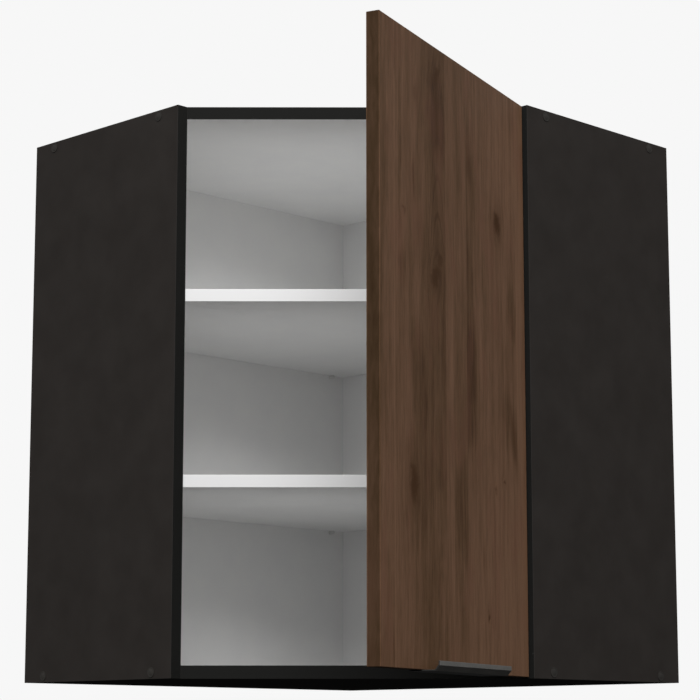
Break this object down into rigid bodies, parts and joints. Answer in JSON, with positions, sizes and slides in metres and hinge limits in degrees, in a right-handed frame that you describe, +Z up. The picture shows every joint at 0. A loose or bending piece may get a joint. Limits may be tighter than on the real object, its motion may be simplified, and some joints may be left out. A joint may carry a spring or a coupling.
{
  "type": "corner wall cabinet",
  "caption": "Five-sided kitchen wall cabinet for a room corner, with a diagonal walnut-look door, white inside with shelves, black outside, edge-pull handle below the door.",
  "frame": {"origin": "the corner of the room behind the cabinet, at the height of its underside: the line where the walls X = 0 and Y = 0 meet", "axes": "+X away from the left-hand wall, -Y away from the right-hand wall, +Z up; the diagonal front faces +X and -Y"},
  "size_m": [0.7264, 0.6928, 0.715],
  "materials": {
    "carcass_board": "black melamine-faced particle board outside, white melamine on the faces that line the compartments",
    "shelf_board": "white melamine-faced particle board with white edging",
    "back_sheet": "white lacquered thin fibre board",
    "door_wood": "dark walnut decor with a vertical grain, knots and a fine pore texture",
    "handle_metal": "matt black anodised",
    "cap_plastic": "moulded black plastic",
    "dowel_wood": "plain beech",
    "bumper_rubber": "translucent soft pad",
    "hanger_plastic": "moulded white plastic",
    "pin_plastic": "moulded white nylon",
    "hinge_steel": "nickel-plated steel",
    "fastener_steel": "zinc-plated steel"
  },
  "bodies": {
    "cabinet": {"back_board_screws": "fastener_steel", "bottom_panel": "carcass_board", "dowels": "dowel_wood", "left_back_board": "carcass_board", "left_hanger": "hanger_plastic", "left_hanger_hook": "fastener_steel", "left_hanger_screws": "fastener_steel", "left_side_panel": "carcass_board", "lower_arm_screw": "fastener_steel", "lower_hinge_arm": "hinge_steel", "lower_mounting_plate": "hinge_steel", "lower_plate_screws": "fastener_steel", "lower_shelf": "shelf_board", "lower_shelf_pins": "pin_plastic", "right_back_sheet": "back_sheet", "right_hanger": "hanger_plastic", "right_hanger_hook": "fastener_steel", "right_hanger_screws": "fastener_steel", "right_side_panel": "carcass_board", "screw_caps": "cap_plastic", "side_panel_screws": "fastener_steel", "top_panel": "carcass_board", "upper_arm_screw": "fastener_steel", "upper_hinge_arm": "hinge_steel", "upper_mounting_plate": "hinge_steel", "upper_plate_screws": "fastener_steel", "upper_shelf": "shelf_board", "upper_shelf_pins": "pin_plastic"},
    "door": {"door": "door_wood", "door_bumpers": "bumper_rubber", "handle": "handle_metal", "handle_screws": "fastener_steel", "lower_cup_screws": "fastener_steel", "lower_hinge_cup": "hinge_steel", "lower_hinge_pin": "hinge_steel", "upper_cup_screws": "fastener_steel", "upper_hinge_cup": "hinge_steel", "upper_hinge_pin": "hinge_steel"}
  },
  "joints": [
    {"name": "door_hinge", "type": "hinge", "parent": "cabinet", "child": "door", "pos_m": [0.58831, -0.29983, 0.3575], "axis": [0, 0, 1], "range_deg": [-63.5, 31.5]}
  ]
}
